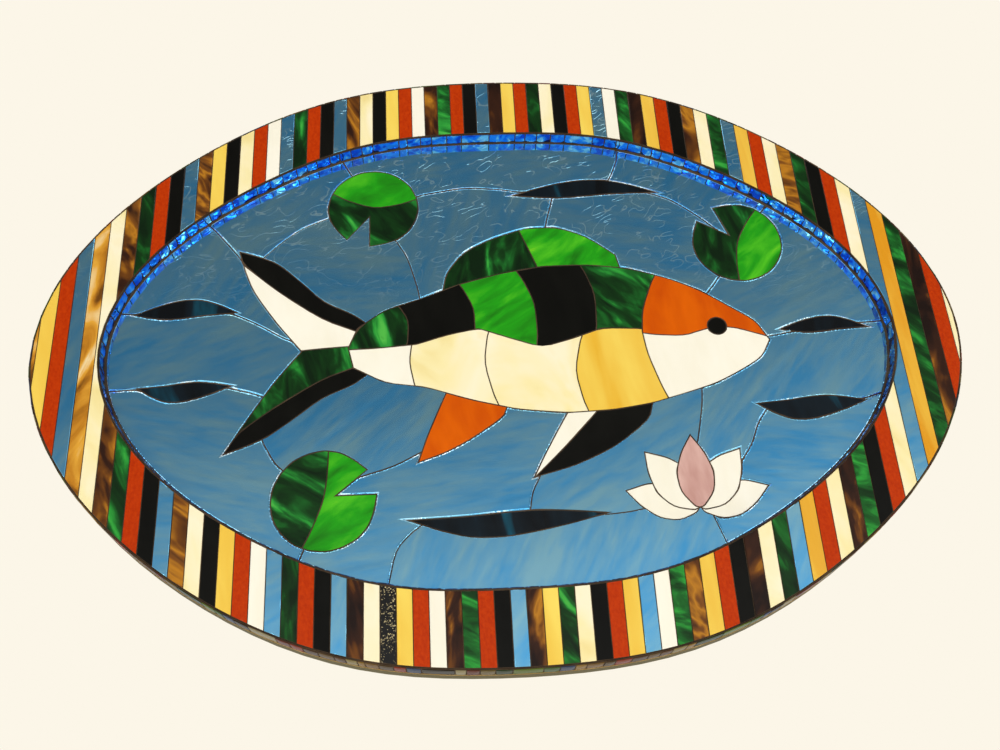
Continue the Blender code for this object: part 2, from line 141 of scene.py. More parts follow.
def lamp(name, place, size, power):
    """A square soft lamp that shines at the panel's middle."""
    light = bpy.data.lights.new(name, "AREA")
    light.size = size
    light.energy = power
    light.color = WARM
    holder = bpy.data.objects.new(name, light)
    holder.location = place
    holder.rotation_euler = Vector(place).to_track_quat("Z", "Y").to_euler()
    bpy.context.scene.collection.objects.link(holder)
    return holder


lamp("lamp_above", (-0.2, -0.9, 2.3), 1.5, 19)
for side, place in (("left", (-1.05, -1.9, -0.85)), ("right", (1.05, -1.9, -0.75))):
    lamp("lamp_low_" + side, place, 0.8, 7).visible_glossy = False
    lamp("lamp_small_" + side, Vector(place) * SMALL_LAMP_NEARER, 0.35, 2.5)

world = bpy.data.worlds.new("room")
bpy.context.scene.world = world
world.use_nodes = True
room = world.node_tree
room.nodes.clear()
direction = room.nodes.new("ShaderNodeTexCoord")
height = room.nodes.new("ShaderNodeVectorMath")
height.operation = "DOT_PRODUCT"
height.inputs[1].default_value = ROOM_LEAN
shades = room.nodes.new("ShaderNodeValToRGB")
set_stops(shades.color_ramp, [(place, grey(shade)) for place, shade in ROOM_SHADES])
seen = room.nodes.new("ShaderNodeLightPath")
far_light = room.nodes.new("ShaderNodeBackground")
plain_wall = room.nodes.new("ShaderNodeBackground")
plain_wall.inputs["Color"].default_value = CREAM_WALL
choice = room.nodes.new("ShaderNodeMixShader")
sky = room.nodes.new("ShaderNodeOutputWorld")
room.links.new(direction.outputs["Generated"], height.inputs[0])
room.links.new(height.outputs["Value"], shades.inputs["Fac"])
room.links.new(shades.outputs["Color"], far_light.inputs["Color"])
room.links.new(seen.outputs["Is Camera Ray"], choice.inputs["Fac"])
room.links.new(far_light.outputs["Background"], choice.inputs[1])
room.links.new(plain_wall.outputs["Background"], choice.inputs[2])
room.links.new(choice.outputs["Shader"], sky.inputs["Surface"])

bpy.ops.mesh.primitive_plane_add(size=FLOOR_SIZE, location=(0, 0, FLOOR_HEIGHT))
floor = bpy.context.active_object
floor.name = "floor"
paint = bpy.data.materials.new("floor_paint")
paint.use_nodes = True
pale = paint.node_tree.nodes["Principled BSDF"]
pale.inputs["Base Color"].default_value = tone("#EDE7DA")
pale.inputs["Roughness"].default_value = 0.8
pale.inputs["Emission Color"].default_value = CREAM_WALL
pale.inputs["Emission Strength"].default_value = 0.60
floor.data.materials.append(paint)
floor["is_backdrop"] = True
print("lamps:", len(bpy.data.lights))

# %% [markdown]
# Every finish below is a small sum: a pattern, some colours and a shader. A wire is one output of
# a node. Arithmetic on wires adds Math nodes, so a pattern can be written as a line of Python.

# %% Wires and finishes
CUTS_APART = 37.0


class Wire:
    """One output of a shader node, on which arithmetic adds Math nodes."""

    def __init__(self, finish, socket):
        self.finish = finish
        self.socket = socket

    def maths(self, operation, *others):
        values = dict(enumerate((self, *others)))
        return self.finish.node("ShaderNodeMath", {"operation": operation}, values)

    def __add__(self, other):
        return self.maths("ADD", other)

    def __sub__(self, other):
        return self.maths("SUBTRACT", other)

    def __mul__(self, other):
        return self.maths("MULTIPLY", other)

    def __abs__(self):
        return self.maths("ABSOLUTE")

    def __lt__(self, other):
        return self.maths("LESS_THAN", other)


class Finish:
    """A material and its Principled shader, with the few patterns that glass, grout and wood need."""

    def __init__(self, name, roughness, metallic=0.0, specular=0.5):
        self.name = name
        self.material = bpy.data.materials.new(name)
        self.material.use_nodes = True
        self.tree = self.material.node_tree
        self.shader = self.tree.nodes["Principled BSDF"]
        self.shader.inputs["Roughness"].default_value = roughness
        self.shader.inputs["Metallic"].default_value = metallic
        self.shader.inputs["Specular IOR Level"].default_value = specular

    def node(self, kind, settings, values, output=0):
        """Adds a node of that kind, with its settings, then the values or wires of its inputs."""
        made = self.tree.nodes.new(kind)
        for name, value in settings.items():
            setattr(made, name, value)
        for key, value in values.items():
            if isinstance(value, Wire):
                self.tree.links.new(value.socket, made.inputs[key])
            else:
                made.inputs[key].default_value = value
        return Wire(self, made.outputs[output])

    def wear(self, **inputs):
        """Links wires to the shader's own sockets."""
        for name, value in inputs.items():
            self.tree.links.new(value.socket, self.shader.inputs[name.replace("_", " ")])

    def place(self, turn=0.0, stretch=(1.0, 1.0, 1.0), swing=0.0):
        """The object's own coordinates, turned about Y by degrees and then stretched.

        The turn differs from one cut piece to the next by up to half the swing either way.
        """
        spot = self.node("ShaderNodeTexCoord", {}, {}, "Object")
        angle = (self.cut() - 0.5) * math.radians(swing) + math.radians(turn)
        turn_about_y = {"rotation_type": "Y_AXIS"}
        turned = self.node("ShaderNodeVectorRotate", turn_about_y, {"Vector": spot, "Angle": angle})
        return self.node("ShaderNodeMapping", {}, {"Vector": turned, "Scale": stretch})

    def along(self, axis):
        """The object's own X, Y or Z in metres, for axis 0, 1 or 2."""
        return self.node("ShaderNodeSeparateXYZ", {}, {0: self.place()}, axis)

    def cut(self):
        """The number from 0 to 1 that tells one cut piece of the same glass from the next."""
        return self.node("ShaderNodeAttribute", {"attribute_name": "cut"}, {}, "Fac")

    def cloud(self, place, scale, detail=2.0, warp=0.0, seed=1.0):
        """Soft noise from 0 to 1 that differs from one cut piece to the next."""
        values = {
            "Vector": place, "W": self.cut() * (CUTS_APART * seed),
            "Scale": scale, "Detail": detail, "Distortion": warp,
        }
        return self.node("ShaderNodeTexNoise", {"noise_dimensions": "4D"}, values)

    def blend(self, mask, first, second, kind="MIX"):
        """The first colour where the mask is black and the second where it is white."""
        values = {0: mask, 6: first, 7: second}
        return self.node("ShaderNodeMix", {"data_type": "RGBA", "blend_type": kind}, values, 2)

    def stops(self, value, *stops, interpolation="LINEAR"):
        """A ramp of colours that the value runs along."""
        ramp = self.node("ShaderNodeValToRGB", {}, {0: value})
        ramp.socket.node.color_ramp.interpolation = interpolation
        set_stops(ramp.socket.node.color_ramp, stops)
        return ramp

    def rise(self, value, low, high):
        """Black up to the low value, white from the high one and an even rise between them."""
        return self.stops(value, (low, BLACK), (high, WHITE))

    def bump(self, height, strength, depth, over=None):
        """Relief of that depth, on top of other relief where there is some."""
        values = {"Height": height, "Strength": strength, "Distance": depth}
        if over:
            values["Normal"] = over
        return self.node("ShaderNodeBump", {}, values)


# %% [markdown]
# Opaque stained glass is coloured through and polished by its own making: a plain colour with a
# faint mottle, and a surface that is almost but not quite flat, so what it mirrors wavers. Towards
# the right end of the panel the yellow glass has clouds of honey in it as well.

# %% Plain opaque glass
POLISHED = 0.07
WAVER_DEPTH = 0.0012


def slow_waves(finish, strength=0.25):
    """The gentle unevenness of rolled glass."""
    wave = finish.cloud(finish.place(), 55, detail=1.0, seed=2.0)
    return finish.bump(wave, strength, WAVER_DEPTH)


def opaque_glass(name, pale, dark, mottle=0.5, scale=40, stretch=(1, 1, 0.35)):
    """Glass of two close tones in soft upright clouds."""
    finish = Finish(name, POLISHED, specular=0.10)
    cloud = finish.cloud(finish.place(8, stretch), scale, detail=3.0, warp=0.4)
    mask = finish.rise(cloud, 0.5 - mottle / 2, 0.5 + mottle / 2)
    finish.wear(Base_Color=finish.blend(mask, tone(dark), tone(pale)), Normal=slow_waves(finish))
    return finish


black_glass = opaque_glass("black_glass", "#12120F", "#0A0A08")
white_glass = opaque_glass("white_glass", "#F6F4E8", "#EEEAD8")
red_glass = opaque_glass("red_glass", "#BE3C06", "#A82C03", 0.45, 420, (1, 1, 0.7))
orange_glass = opaque_glass("orange_glass", "#DE6604", "#BE4602", 0.5, 45)
yellow_glass = opaque_glass("yellow_glass", "#F2DA68", "#E2AE30", 0.5, 18, (1.6, 1, 0.35))
across = yellow_glass.along(0)
honey = yellow_glass.cloud(yellow_glass.place(6, (2.4, 1, 0.3)), 22, detail=3.0, warp=0.8, seed=5.0)
to_the_right = yellow_glass.rise(across, 0.12, 0.34)
honey_share = yellow_glass.stops(honey, (0.36, grey(0.35)), (0.60, WHITE)) * to_the_right
plain_yellow = Wire(yellow_glass, yellow_glass.shader.inputs["Base Color"].links[0].from_socket)
yellow_glass.wear(Base_Color=yellow_glass.blend(honey_share, plain_yellow, tone("#D89420")))
rosy_glass = opaque_glass("rosy_glass", "#DDB8B0", "#B88A82", 0.5, 60)

# %% [markdown]
# Cream glass has yellow drawn through it in slow swirls, like stirred milk.

# %% Cream glass
cream_glass = Finish("cream_glass", POLISHED, specular=0.18)
swirl = cream_glass.cloud(cream_glass.place(25, (1, 1, 0.55)), 14, detail=3.0, warp=1.4)
creams = (
    (0.28, tone("#E8D48A")), (0.42, tone("#F2E6AE")), (0.60, tone("#F6EED0")), (0.75, tone("#EFDEA2")),
)
cream_glass.wear(Base_Color=cream_glass.stops(swirl, *creams), Normal=slow_waves(cream_glass))

# %% [markdown]
# Streaky glass is two melts folded together before rolling. Noise stretched along one direction
# and warped by itself gives the folds. The direction turns a little from piece to piece, because
# each strip was cut from another part of the sheet.

# %% Streaky green and brown glass


def streaky_glass(name, turn, stretch, scale, warp, *stops, swing=40, vary=0.12, detail=4.0):
    """Glass of several tones in stretched, folded streaks."""
    finish = Finish(name, POLISHED, specular=0.18)
    fold = finish.cloud(finish.place(turn, stretch, swing), scale, detail, warp)
    fold = fold + (finish.cut() - 0.5) * vary
    tones = [(place, tone(code)) for place, code in stops]
    finish.wear(Base_Color=finish.stops(fold, *tones), Normal=slow_waves(finish))
    return finish


green_glass = streaky_glass(
    "green_glass", -55, (0.6, 1, 1.8), 30, 0.9,
    (0.36, "#0A200C"), (0.49, "#103613"), (0.58, "#1A6024"),
    (0.66, "#2C9638"), (0.76, "#50B448"), (0.82, "#1B5A20"),
    swing=70,
)
bright_green_glass = streaky_glass(
    "bright_green_glass", 35, (0.6, 1, 1.8), 26, 0.8,
    (0.30, "#1A6A10"), (0.50, "#229A16"), (0.68, "#4DBB20"), (0.80, "#9CD42A"),
)
brown_glass = streaky_glass(
    "brown_glass", 12, (1.6, 1, 0.6), 20, 1.3,
    (0.34, "#1C0F0A"), (0.46, "#341C10"), (0.54, "#6A3E14"),
    (0.62, "#B47820"), (0.68, "#7A4A1A"), (0.78, "#2E1A10"),
    swing=100, vary=0.30, detail=3.0,
)
amber_glass = streaky_glass(
    "amber_glass", -15, (1.6, 1, 0.5), 22, 1.6,
    (0.30, "#6A4012"), (0.42, "#B87A20"), (0.55, "#D9A038"), (0.68, "#E9D3A0"), (0.80, "#8A5A1C"),
)

# %% [markdown]
# The water is silvered glass: a mirror under blue, so it shows the wall tiles at its edge nearly as
# bright as they are. Blue and slate are drawn through it in soft streaks, whose direction turns
# from pane to pane. In the upper part fine pale squiggles run through it. They are the contour
# lines of a noise, thinned by a second noise that breaks them into short pieces. Each is a low
# ripple in the relief, and its pale colour is a painted highlight of the light that a ripple catches.
# The broken edge of each pane is chipped in its relief, and short dashes of pale are painted along
# it as glints. Depth alone tells the edge from the face.
# Night glass is nearly black, with a few streaks of deep blue.

# %% Water glass
PER_HALF_MM = 2000
water_glass = Finish("water_glass", 0.05, metallic=0.92)
drawn = water_glass.place(28, (0.35, 1, 1.5), swing=90)
broad = water_glass.cloud(drawn, 24, detail=4.0, warp=0.5)
streak = water_glass.cloud(drawn, 95, detail=3.0, warp=0.3, seed=3.0)
mix_of_melts = water_glass.rise(broad * 0.6 + streak * 0.4, 0.38, 0.63)
melts = water_glass.blend(mix_of_melts, tone("#54AEE6"), tone("#8CC4D8"))
contour = water_glass.cloud(water_glass.place(20, (0.7, 1, 1.3)), 42, detail=0.6, warp=2.0, seed=7.0)
line = water_glass.stops(abs(contour - 0.5), (0.0, WHITE), (0.020, BLACK))
parts = water_glass.rise(water_glass.cloud(water_glass.place(), 48, detail=1.0, seed=9.0), 0.45, 0.51)
upper = water_glass.rise(water_glass.along(2) * 4, 0.10, 0.55)
squiggle = line * parts * upper * 0.85
swell = water_glass.cloud(drawn, 20, warp=0.4, seed=5.0)
glass_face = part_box("water_pane_01")[0].y
edge = water_glass.rise((water_glass.along(1) - glass_face) * PER_HALF_MM, 0.04, 0.20)
chips = water_glass.cloud(water_glass.place(), 420, detail=1.0, seed=11.0)
slow = water_glass.cloud(water_glass.place(), 34, detail=1.0, seed=13.0)
stretches = water_glass.rise(slow, 0.50, 0.60)
# Painted glints: pale dashes along the chipped edge of each pane.
painted_edge_glints = edge * stretches * water_glass.rise(chips, 0.40, 0.52)
# The squiggles are painted pale, a painted highlight along ripples that are also in the relief.
water_colour = water_glass.blend(squiggle, melts, tone("#C4EEFC"))
relief = water_glass.bump(swell + squiggle * 0.22, 0.22, WAVER_DEPTH)
water_glass.wear(
    Base_Color=water_glass.blend(painted_edge_glints, water_colour, tone("#DCF2FF")),
    Normal=water_glass.bump(chips * edge, 0.8, WAVER_DEPTH, relief),
)
night_glass = streaky_glass(
    "night_glass", 8, (2.2, 1, 0.4), 16, 0.5,
    (0.40, "#0A0D10"), (0.60, "#0F1A22"), (0.70, "#12485C"), (0.80, "#0B1318"),
)

# %% [markdown]
# Sparkling black glass has flecks of copper in it. One strip of the rim is cut from it.

# %% Sparkling black glass
sparkle_glass = Finish("sparkle_glass", 0.08, specular=0.3)
cells = {"Vector": sparkle_glass.place(), "Scale": 1300}
flecks = sparkle_glass.node("ShaderNodeTexVoronoi", {}, cells, "Color")
fleck = sparkle_glass.node("ShaderNodeSeparateColor", {}, {0: flecks})
cluster = sparkle_glass.cloud(sparkle_glass.place(), 60, seed=2.0)
shine = sparkle_glass.rise(fleck * 0.7 + cluster * 0.6, 0.93, 1.0)
sparkle_glass.wear(
    Base_Color=sparkle_glass.blend(shine, tone("#0D0D0C"), tone("#C8B88A")),
    Normal=slow_waves(sparkle_glass),
)

# %% [markdown]
# The wall tiles inside the opening are silvered cobalt glass with a hammered face. Each one takes
# its own depth of blue from its cut number. Pale patches painted into the blue are painted glints,
# partly where the blue runs thin over the silver; the lamps mirrored in them make them white. Their
# cut ends are darker and dull, with light-blue flecks painted on them as glints.

# %% Mirror tiles
mirror_tile = Finish("mirror_tile", 0.05, metallic=0.95, specular=0.6)
hammer = mirror_tile.cloud(mirror_tile.place(), 80, detail=0.0, warp=0.8, seed=2.0)
blue_depth_and_glints = mirror_tile.cloud(mirror_tile.place(), 80, detail=1.0, warp=1.0, seed=4.0)
blue_depth_and_glints = blue_depth_and_glints + (mirror_tile.cut() - 0.5) * 0.13
# The palest stop paints the glints into the blue.
blues_and_glint_pale = (
    (0.36, tone("#1450D8")), (0.46, tone("#2688FF")), (0.57, tone("#40A2FF")), (0.64, tone("#B0E0FF")),
)
mirror_tile.wear(
    Base_Color=mirror_tile.stops(blue_depth_and_glints, *blues_and_glint_pale),
    Normal=mirror_tile.bump(hammer, 0.8, 0.0030),
)
tile_edge = Finish("tile_edge", 0.3, specular=0.3)
edge_mottle_and_glints = tile_edge.cloud(tile_edge.place(), 260, warp=0.5, seed=3.0)
# The lightest stop paints light-blue glints on the cut ends.
edge_blues_and_glints = ((0.45, tone("#0E1E3C")), (0.62, tone("#1C4A84")), (0.74, tone("#5CA8DC")))
tile_edge.wear(Base_Color=tile_edge.stops(edge_mottle_and_glints, *edge_blues_and_glints))

# %% [markdown]
# The outer wall is faced with offcuts of many glasses. One material serves them all: the cut
# number picks the colour from a ramp with hard steps, and a cloud mottles it.

# %% Edge tiles
OFFCUTS = [
    "#5A4628", "#54661E", "#4A3A22", "#5C2A1C", "#84764A", "#2E3C58", "#46301C", "#26361A",
    "#6E5224", "#8C8260", "#523820", "#3A5420", "#7A2E18", "#645426", "#84662A", "#2A241A",
]
edge_tile = Finish("edge_tile", 0.25, specular=0.02)
steps = [(index / len(OFFCUTS), tone(code)) for index, code in enumerate(OFFCUTS)]
pick = edge_tile.stops(edge_tile.cut(), *steps, interpolation="CONSTANT")
mottle = edge_tile.cloud(edge_tile.place(), 90, detail=3.0, warp=0.6)
edge_tile.wear(
    Base_Color=edge_tile.blend(0.3, pick, mottle, "MULTIPLY"),
    Normal=slow_waves(edge_tile, 0.4),
)

# %% [markdown]
# Grout is sand and cement: brown, matt and gritty. Plywood shows its face grain on the back and
# its glued layers along the edge, which is a pattern across the board's thickness.

# %% Grout and plywood
ON_BOARD_FACE = 0.00005
grout = Finish("grout", 0.9, specular=0.2)
grit = grout.node("ShaderNodeTexNoise", {}, {"Vector": grout.place(), "Scale": 1800, "Detail": 3.0})
patch = grout.node("ShaderNodeTexNoise", {}, {"Vector": grout.place(), "Scale": 35, "Detail": 2.0})
grout.wear(
    Base_Color=grout.stops(patch * 0.6 + grit * 0.4, (0.35, tone("#30261E")), (0.65, tone("#574635"))),
    Normal=grout.bump(grit, 0.5, 0.0003),
)

plywood = Finish("plywood", 0.65, specular=0.3)
long_grain = plywood.place(0, (3, 3, 60))
grain = plywood.node(
    "ShaderNodeTexNoise", {}, {"Vector": long_grain, "Scale": 6, "Detail": 5.0, "Distortion": 0.4}
)
layers = plywood.node(
    "ShaderNodeTexWave", {"bands_direction": "Y"},
    {"Vector": plywood.place(), "Scale": 55, "Distortion": 0.6, "Detail": 1.0, "Detail Scale": 20},
)
deep = plywood.along(1)
board_faces = [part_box(node)[side].y for node in ("base_board", "rim_board") for side in (0, 1)]
face_masks = [abs(deep - face_depth) < ON_BOARD_FACE for face_depth in board_faces]
on_face = sum(face_masks[1:], face_masks[0])
face_woods = ((0.30, tone("#8A6E42")), (0.50, tone("#A98C58")), (0.70, tone("#C2A670")))
face_wood = plywood.stops(grain, *face_woods)
edge_wood = plywood.stops(layers, (0.25, tone("#443C1E")), (0.60, tone("#665E34")))
plywood.wear(
    Base_Color=plywood.blend(on_face, edge_wood, face_wood),
    Normal=plywood.bump(grain, 0.25, 0.0004),
)

PICTURE_GLASSES = {
    glass.name: glass for glass in (
        black_glass, white_glass, cream_glass, yellow_glass, orange_glass, brown_glass, green_glass,
        bright_green_glass, rosy_glass, night_glass, water_glass,
    )
}
print("glasses of the picture:", sorted(PICTURE_GLASSES))

# %% [markdown]
# A few helpers come back in every step. They copy a solid as a new piece and weld its loose
# triangles, open a piece in edit mode, choose edges, cut a piece across, move its front and join
# pieces. The last gives a piece its finish and its body, and hides the solid that it stands for.

# %% Helpers for every piece
WELD = 0.000002
FLAT_WITHIN = math.radians(0.3)
GOLDEN_STEP = 0.618034
FRONT, BACK = -1, 1


def select_only(*pieces):
    """These pieces are selected, and the first of them is active."""
    bpy.ops.object.select_all(action="DESELECT")
    for piece in pieces:
        piece.select_set(True)
    bpy.context.view_layer.objects.active = pieces[0]


def open_piece(piece, action="SELECT"):
    """The piece is open in edit mode with all of it selected, or with none of it."""
    select_only(piece)
    bpy.ops.object.mode_set(mode="EDIT")
    bpy.ops.mesh.select_all(action=action)


def close_piece():
    bpy.ops.object.mode_set(mode="OBJECT")


def copy_of(node, name):
    """A new piece with the solid's shape, its triangles welded and its flat faces whole."""
    piece = bpy.data.objects.new(name, frame["nodes"][node].data.copy())
    piece.data.name = name
    bpy.context.scene.collection.objects.link(piece)
    open_piece(piece)
    bpy.ops.mesh.remove_doubles(threshold=WELD)
    bpy.ops.mesh.dissolve_limited(angle_limit=FLAT_WITHIN)
    close_piece()
    return piece


def select_edges(piece, wanted):
    """Opens the piece with the edges chosen by wanted(direction, normals of its two faces)."""
    mesh = piece.data
    faces_at = {}
    for face in mesh.polygons:
        for key in face.edge_keys:
            faces_at.setdefault(key, []).append(face.normal.copy())
    open_piece(piece, "DESELECT")
    bpy.ops.mesh.select_mode(type="EDGE")
    close_piece()
    chosen = 0
    for edge in mesh.edges:
        normals = faces_at.get(edge.key, [])
        along = mesh.vertices[edge.vertices[1]].co - mesh.vertices[edge.vertices[0]].co
        edge.select = len(normals) == 2 and bool(wanted(along, *normals))
        chosen += edge.select
    bpy.ops.object.mode_set(mode="EDIT")
    return chosen


def cut_away(piece, depth, side):
    """Cuts the piece across at that depth, drops the side towards its FRONT or BACK, and fills the cut."""
    open_piece(piece)
    bpy.ops.mesh.bisect(plane_co=(0, depth, 0), plane_no=(0, side, 0), use_fill=True, clear_outer=True)
    close_piece()


def shift_front(piece, depth, shift):
    """Moves every point of the piece that lies in front of that depth along Y."""
    for vertex in piece.data.vertices:
        if vertex.co.y < depth:
            vertex.co.y += shift


def join(pieces, name):
    """One piece of that name from them all."""
    select_only(*pieces)
    if len(pieces) > 1:
        bpy.ops.object.join()
    joined = pieces[0]
    joined.name = name
    joined.data.name = name
    return joined


def number_cut(piece, index, offset=0.0):
    """Marks every point with the piece's cut number. Golden steps keep neighbours well apart."""
    marks = piece.data.attributes.new("cut", "FLOAT", "POINT")
    marks.data.foreach_set("value", [(index * GOLDEN_STEP + offset) % 1] * len(piece.data.vertices))


def dress(piece, slot, node, *finishes):
    """Gives the piece its finishes and its body, and hides the solid that it stands for. The slot is not
    used.
    """
    piece.data.materials.clear()
    for finish in finishes:
        piece.data.materials.append(finish.material)
    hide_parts(node)
    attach(piece, "root")


# %% [markdown]
# A hand-cut piece of glass has a smooth outline and a front edge that the grinding stone has just
# broken. The solids have straight cuts, so each upright edge between two cuts is bevelled until
# the outline is a curve, true corners are kept, and then the front edge is rounded. The water
# panes are rounded more and then flattened, which leaves a wide, shallow worn slope at their edges.

# %% The picture's glass
FRONT_ROUND = 0.0004
WATER_ROUND = 0.0014
WATER_SLOPE = 0.4
SMALLEST_ROUND = 0.00005
NEARLY_FLAT = 0.02
SMOOTH_UP_TO = math.radians(38)


def smooth_outline(piece):
    """Bevels the edges across the thickness where two cuts of the outline nearly line up."""
    def shallow(along, first, second):
        return abs(along.y) > 0.95 * along.length and NEARLY_FLAT < first.angle(second) < SMOOTH_UP_TO

    if select_edges(piece, shallow):
        bpy.ops.mesh.bevel(
            offset_type="PERCENT", offset_pct=30, segments=2, affect="EDGES", clamp_overlap=True
        )
    close_piece()


def faces_front(piece):
    """True if each triangle of the flat front looks out of it, so the outline crosses itself nowhere."""
    mesh = piece.data
    mesh.calc_loop_triangles()
    for triangle in mesh.loop_triangles:
        corners = [mesh.vertices[index].co for index in triangle.vertices]
        turned = (corners[1] - corners[0]).cross(corners[2] - corners[0])
        if mesh.polygons[triangle.polygon_index].normal.y < -0.99 and turned.y > 1e-10:
            return False
    return True


def round_front(piece, size):
    """Rounds the front edge, by less where a narrow tongue of glass has no room for it."""
    def rim(along, first, second):
        return min(first.y, second.y) < -0.9 and max(first.y, second.y) > -0.5

    sharp = piece.data.copy()
    while select_edges(piece, rim):
        bpy.ops.mesh.bevel(offset=size, segments=2, affect="EDGES", clamp_overlap=False)
        close_piece()
        if faces_front(piece) or size < SMALLEST_ROUND:
            break
        piece.data = sharp.copy()
        size /= 2
        print(piece.name, "rounded by", size)
    close_piece()
    bpy.ops.object.shade_smooth_by_angle(angle=math.radians(35))
    fronts = {key for face in piece.data.polygons if face.normal.y < -0.97 for key in face.edge_keys}
    for edge in piece.data.edges:
        if edge.key in fronts:
            edge.use_edge_sharp = True


picture_nodes = sorted(n for n, slot in slot_of.items() if slot.endswith("_glass") and n != "rim_strips")
for index, node in enumerate(picture_nodes):
    piece = copy_of(node, node + "_glass")
    smooth_outline(piece)
    if slot_of[node] == "water_glass":
        round_front(piece, WATER_ROUND)
        for vertex in piece.data.vertices:
            behind = vertex.co.y - glass_face
            if 0 < behind < 1.1 * WATER_ROUND:
                vertex.co.y = glass_face + WATER_SLOPE * behind
    else:
        round_front(piece, FRONT_ROUND)
    number_cut(piece, index)
    dress(piece, slot_of[node], node, PICTURE_GLASSES[slot_of[node]])
print("pieces of the picture:", len(picture_nodes))

# %% [markdown]
# Grout fills the joints to just under the face of the glass. It is one sheet that the glass is
# pressed into, so its solid is a copy of the thin bed, brought forward and out to the wall tiles.

# %% The picture's grout
GROUT_SUNK = 0.0005
WALL_TILE = 0.0025
bed = copy_of("picture_bed", "picture_grout")
bed_low, bed_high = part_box("picture_bed")
wall_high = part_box("inner_wall_tiles")[1]
reach = [(wall_high[axis] - WALL_TILE) / bed_high[axis] for axis in (0, 2)]
bed.data.transform(Matrix.Diagonal((reach[0], 1, reach[1], 1)))
shift_front(bed, (bed_low.y + bed_high.y) / 2, glass_face + GROUT_SUNK - bed_low.y)
dress(bed, "grout", "picture_bed", grout)
print("grout lies", round(1000 * GROUT_SUNK, 2), "mm under the glass")

# %% [markdown]
# The rim is faced with 55 strips above, 54 below and a few tall ones at each end, cut from ten
# glasses in a loose order. The solid has them fused to their bed. One cut with a plane sets
# them free of it, and each gets a hair of tilt and turn, as a hand sets them.

# %% The rim's strips
STRIP_SHOWS = 0.0012
STRIP_ROUND = 0.00035
STRIP_LEAN = 0.0002
STRIP_ROLL = 0.008
STRIP_PUSH = 0.0001
NEAR_MIDDLE = 0.001
RIM_FINISHES = {
    "R": ("rim_red", red_glass), "K": ("rim_black", black_glass), "W": ("rim_white", white_glass),
    "C": ("rim_cream", cream_glass), "Y": ("rim_yellow", yellow_glass), "U": ("rim_blue", water_glass),
    "G": ("rim_green", green_glass), "N": ("rim_brown", brown_glass), "A": ("rim_amber", amber_glass),
    "S": ("rim_sparkle", sparkle_glass),
}
LEFT_END = "AYRUAC"
ABOVE = "NGRKUNYKCRWUGRKUNCKYRWNGRKUNYRGCKRYUWGNYRKNCGUYRCNGKRCU"
BELOW = "NGRKUNCKYRWUGRKUNCSYRWNGRKUNYGCKRYUWGNYRKNCGUYRCNGKRCU"
RIGHT_END = "YGNRC"

rim_low, rim_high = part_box("rim_strips")
strips = copy_of("rim_strips", "rim_strip")
cut_away(strips, rim_low.y + STRIP_SHOWS, BACK)
open_piece(strips)
bpy.ops.mesh.separate(type="LOOSE")
close_piece()
cut_strips = list(bpy.context.selected_objects)


def reach_of(piece):
    """The middle of the piece along X, and its lowest and highest Z."""
    across = [vertex.co.x for vertex in piece.data.vertices]
    upright = [vertex.co.z for vertex in piece.data.vertices]
    return (min(across) + max(across)) / 2, min(upright), max(upright)


places = {piece: reach_of(piece) for piece in cut_strips}


def in_order(wanted):
    """The strips whose lowest and highest Z are wanted, from left to right."""
    return sorted((p for p in cut_strips if wanted(*places[p][1:])), key=lambda p: places[p][0])


whole = in_order(lambda lowest, highest: lowest < -NEAR_MIDDLE and highest > NEAR_MIDDLE)
above = in_order(lambda lowest, highest: lowest >= -NEAR_MIDDLE)
below = in_order(lambda lowest, highest: highest <= NEAR_MIDDLE)
left_end = [p for p in whole if places[p][0] < 0]
right_end = [p for p in whole if places[p][0] > 0]
print("strips:", len(left_end), len(above), len(below), len(right_end))

by_glass = {}
for row, letters in ((left_end, LEFT_END), (above, ABOVE), (below, BELOW), (right_end, RIGHT_END)):
    for piece, letter in zip(row, letters, strict=True):
        by_glass.setdefault(letter, []).append(piece)

for index, piece in enumerate([*left_end, *above, *below, *right_end]):
    number_cut(piece, index)
    centre, lowest, highest = places[piece]
    middle = Vector((centre, rim_low.y, (lowest + highest) / 2))
    lean = math.sin(index * 12.9898) * STRIP_LEAN / (highest - lowest)
    roll = math.sin(index * 78.233) * STRIP_ROLL
    push = STRIP_PUSH + STRIP_PUSH * math.sin(index * 37.719)
    turn = Matrix.Rotation(lean, 4, "Y") @ Matrix.Rotation(roll, 4, "Z")
    move = Matrix.Translation((0, push, 0)) @ Matrix.Translation(middle)
    piece.data.transform(move @ turn @ Matrix.Translation(-middle))

for letter, pieces in by_glass.items():
    name, finish = RIM_FINISHES[letter]
    row = join(pieces, name)
    round_front(row, STRIP_ROUND)
    dress(row, "rim_glass", "rim_strips", finish)
    print(name, len(pieces))

# %% [markdown]
# The rim's own grout is the part of the same solid behind the cut, brought forward to just under
# the strips' faces.

# %% The rim's grout
BED_THICK = 0.0012
CUT_INTO_BED = 0.0003
RIM_GROUT_SUNK = 0.0009
rim_grout = copy_of("rim_strips", "rim_grout")
bed_cut = rim_high.y - BED_THICK + CUT_INTO_BED
cut_away(rim_grout, bed_cut, FRONT)
shift_front(rim_grout, bed_cut + 0.0001, rim_low.y + RIM_GROUT_SUNK - bed_cut)
dress(rim_grout, "grout", "rim_strips", grout)

# %% [markdown]
# Wall tiles are cut by eye, so their widths vary and no two are quite square. One plain tile is
# modelled. Its copies walk round each wall: every one is stretched to its own width, its face is
# hammered and its edges are broken by its own noise, and they all stand on a ring of grout.

# %% Wall tiles
TILE_GRID = {"x_subdivisions": 4, "y_subdivisions": 5}
TILE_JOINT = 0.0011
TILE_PROUD = 0.0010
TILE_FILLS = 0.985
TILE_SET_BACK = 0.0002
TILE_EDGE_WORN = 0.00035
TILE_EDGE_WAVER = 0.0005
WIDTH_SPREAD = 0.55
LONG_TILE = 1.7
LONG_FROM = 0.42
ON_WALL_FACE = 0.0005
RING_BEHIND = 0.0009
RING_SUNK = 0.0004


